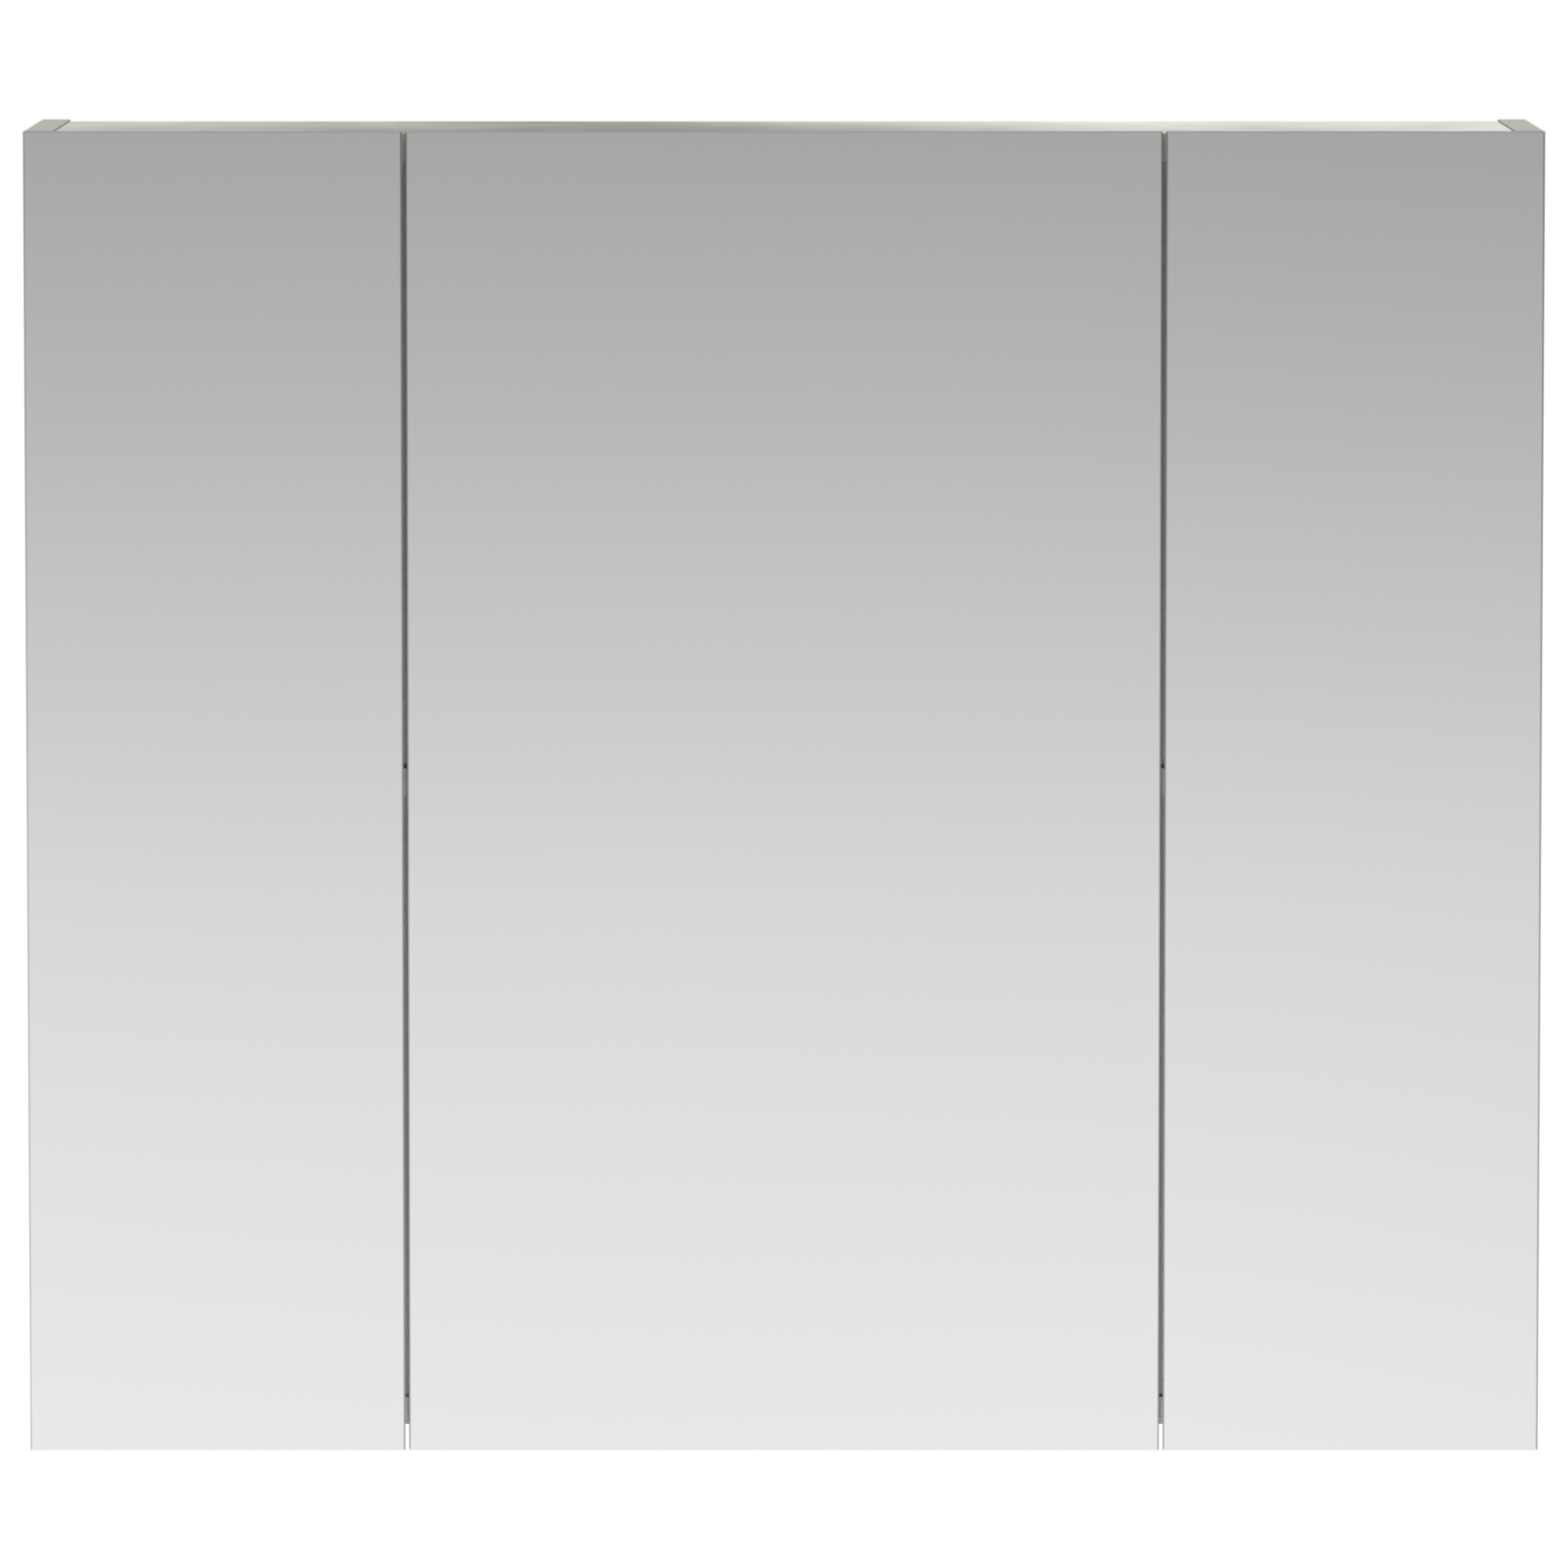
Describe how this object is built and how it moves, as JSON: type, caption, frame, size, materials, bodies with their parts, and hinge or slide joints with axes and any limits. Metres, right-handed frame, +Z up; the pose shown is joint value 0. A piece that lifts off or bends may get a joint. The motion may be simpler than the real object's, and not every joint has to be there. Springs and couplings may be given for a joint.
{
  "type": "medicine cabinet with mirror",
  "caption": "Wall-hung bathroom mirror cabinet: frameless mirror doors on concealed multi-link hinges over a board carcass with compartments",
  "frame": {"origin": "middle of the footprint, level with the lower edges of the doors", "axes": "+Z up, the doors face -Y, the wall is at +Y, +X to the right of a person facing the doors"},
  "size_m": [0.8, 0.16, 0.7],
  "materials": {
    "silvered_mirror": "silvered float glass, polished arris",
    "bonding_pad": "soft adhesive pad",
    "decor_board": "particle board with matt mottled melamine decor",
    "edge_band": "ABS edge band, matt",
    "coated_hardboard": "lacquered hardboard",
    "beech_dowel": "turned beech",
    "die_cast_zinc": "die-cast zinc",
    "zinc_plated_screw": "bright zinc plating",
    "galvanised_steel": "galvanised sheet steel",
    "nickel_plated_steel": "nickel-plated steel",
    "cover_plastic": "moulded cover plastic",
    "spacer_plastic": "moulded plastic",
    "clear_bumper": "clear soft bumper"
  },
  "bodies": {
    "carcass": {"left_side_panel": "decor_board", "right_side_panel": "decor_board", "top_panel": "decor_board", "middle_shelf": "decor_board", "bottom_panel": "decor_board", "upper_left_divider": "decor_board", "upper_right_divider": "decor_board", "lower_left_divider": "decor_board", "lower_right_divider": "decor_board", "back_panel": "coated_hardboard", "side_front_edge_bands": "edge_band", "side_end_edge_bands": "edge_band", "cross_edge_bands": "edge_band", "divider_edge_bands": "edge_band", "dowels": "beech_dowel", "cam_bolts": "zinc_plated_screw", "cam_nuts": "die_cast_zinc", "hanger_housings": "galvanised_steel", "hanger_hooks": "galvanised_steel", "hanger_screws": "zinc_plated_screw", "hanger_caps": "cover_plastic", "wall_plates": "galvanised_steel", "hinge_mounting_plates": "nickel_plated_steel", "hinge_spacers": "spacer_plastic", "hinge_arms": "nickel_plated_steel", "hinge_arm_pins": "nickel_plated_steel", "plate_screws": "zinc_plated_screw", "arm_screws": "zinc_plated_screw", "door_bumpers": "clear_bumper"},
    "left_door": {"left_mirror": "silvered_mirror", "left_shoe_pads": "bonding_pad", "left_shoes": "die_cast_zinc", "left_shoe_pins": "nickel_plated_steel"},
    "left_front_crank": {"left_front_cranks": "nickel_plated_steel", "left_front_crank_pins": "nickel_plated_steel"},
    "left_rear_crank": {"left_rear_cranks": "nickel_plated_steel", "left_rear_crank_pins": "nickel_plated_steel"},
    "left_short_coupler": {"left_short_couplers": "nickel_plated_steel"},
    "left_long_coupler": {"left_long_couplers": "nickel_plated_steel"},
    "middle_door": {"middle_mirror": "silvered_mirror", "middle_shoe_pads": "bonding_pad", "middle_shoes": "die_cast_zinc", "middle_shoe_pins": "nickel_plated_steel"},
    "middle_front_crank": {"middle_front_cranks": "nickel_plated_steel", "middle_front_crank_pins": "nickel_plated_steel"},
    "middle_rear_crank": {"middle_rear_cranks": "nickel_plated_steel", "middle_rear_crank_pins": "nickel_plated_steel"},
    "middle_short_coupler": {"middle_short_couplers": "nickel_plated_steel"},
    "middle_long_coupler": {"middle_long_couplers": "nickel_plated_steel"},
    "right_door": {"right_mirror": "silvered_mirror", "right_shoe_pads": "bonding_pad", "right_shoes": "die_cast_zinc", "right_shoe_pins": "nickel_plated_steel"},
    "right_front_crank": {"right_front_cranks": "nickel_plated_steel", "right_front_crank_pins": "nickel_plated_steel"},
    "right_rear_crank": {"right_rear_cranks": "nickel_plated_steel", "right_rear_crank_pins": "nickel_plated_steel"},
    "right_short_coupler": {"right_short_couplers": "nickel_plated_steel"},
    "right_long_coupler": {"right_long_couplers": "nickel_plated_steel"}
  },
  "joints": [
    {"name": "left_door_hinge", "type": "hinge", "parent": "carcass", "child": "left_door", "pos_m": [-0.3967, -0.078, 0.3565], "axis": [0, 0, -1], "range_deg": [0, 100]},
    {"name": "left_front_crank_pivot", "type": "hinge", "parent": "carcass", "child": "left_front_crank", "pos_m": [-0.37777, -0.05097, 0.3565], "axis": [0, 0, -1], "range_deg": [0, 100]},
    {"name": "left_rear_crank_pivot", "type": "hinge", "parent": "carcass", "child": "left_rear_crank", "pos_m": [-0.36946, -0.03909, 0.3565], "axis": [0, 0, -1], "range_deg": [0, 100]},
    {"name": "left_short_coupler_pivot", "type": "hinge", "parent": "left_front_crank", "child": "left_short_coupler", "pos_m": [-0.35935, -0.04198, 0.3565], "axis": [0, 0, -1], "range_deg": [-100, 0]},
    {"name": "left_long_coupler_pivot", "type": "hinge", "parent": "left_front_crank", "child": "left_long_coupler", "pos_m": [-0.34676, -0.03584, 0.3565], "axis": [0, 0, -1], "range_deg": [-100, 0]},
    {"name": "middle_door_hinge", "type": "hinge", "parent": "carcass", "child": "middle_door", "pos_m": [-0.1957, -0.078, 0.3565], "axis": [0, 0, -1], "range_deg": [0, 100]},
    {"name": "middle_front_crank_pivot", "type": "hinge", "parent": "carcass", "child": "middle_front_crank", "pos_m": [-0.17677, -0.05097, 0.3565], "axis": [0, 0, -1], "range_deg": [0, 100]},
    {"name": "middle_rear_crank_pivot", "type": "hinge", "parent": "carcass", "child": "middle_rear_crank", "pos_m": [-0.16846, -0.03909, 0.3565], "axis": [0, 0, -1], "range_deg": [0, 100]},
    {"name": "middle_short_coupler_pivot", "type": "hinge", "parent": "middle_front_crank", "child": "middle_short_coupler", "pos_m": [-0.15835, -0.04198, 0.3565], "axis": [0, 0, -1], "range_deg": [-100, 0]},
    {"name": "middle_long_coupler_pivot", "type": "hinge", "parent": "middle_front_crank", "child": "middle_long_coupler", "pos_m": [-0.14576, -0.03584, 0.3565], "axis": [0, 0, -1], "range_deg": [-100, 0]},
    {"name": "right_door_hinge", "type": "hinge", "parent": "carcass", "child": "right_door", "pos_m": [0.3967, -0.078, 0.3565], "axis": [0, 0, 1], "range_deg": [0, 100]},
    {"name": "right_front_crank_pivot", "type": "hinge", "parent": "carcass", "child": "right_front_crank", "pos_m": [0.37777, -0.05097, 0.3565], "axis": [0, 0, 1], "range_deg": [0, 100]},
    {"name": "right_rear_crank_pivot", "type": "hinge", "parent": "carcass", "child": "right_rear_crank", "pos_m": [0.36946, -0.03909, 0.3565], "axis": [0, 0, 1], "range_deg": [0, 100]},
    {"name": "right_short_coupler_pivot", "type": "hinge", "parent": "right_front_crank", "child": "right_short_coupler", "pos_m": [0.35935, -0.04198, 0.3565], "axis": [0, 0, 1], "range_deg": [-100, 0]},
    {"name": "right_long_coupler_pivot", "type": "hinge", "parent": "right_front_crank", "child": "right_long_coupler", "pos_m": [0.34676, -0.03584, 0.3565], "axis": [0, 0, 1], "range_deg": [-100, 0]}
  ],
  "couplings": [
    {"joint": "left_front_crank_pivot", "follows": "left_door_hinge", "ratio": 1},
    {"joint": "left_rear_crank_pivot", "follows": "left_door_hinge", "ratio": 1},
    {"joint": "left_short_coupler_pivot", "follows": "left_door_hinge", "ratio": -1},
    {"joint": "left_long_coupler_pivot", "follows": "left_door_hinge", "ratio": -1},
    {"joint": "middle_front_crank_pivot", "follows": "middle_door_hinge", "ratio": 1},
    {"joint": "middle_rear_crank_pivot", "follows": "middle_door_hinge", "ratio": 1},
    {"joint": "middle_short_coupler_pivot", "follows": "middle_door_hinge", "ratio": -1},
    {"joint": "middle_long_coupler_pivot", "follows": "middle_door_hinge", "ratio": -1},
    {"joint": "right_front_crank_pivot", "follows": "right_door_hinge", "ratio": 1},
    {"joint": "right_rear_crank_pivot", "follows": "right_door_hinge", "ratio": 1},
    {"joint": "right_short_coupler_pivot", "follows": "right_door_hinge", "ratio": -1},
    {"joint": "right_long_coupler_pivot", "follows": "right_door_hinge", "ratio": -1}
  ]
}
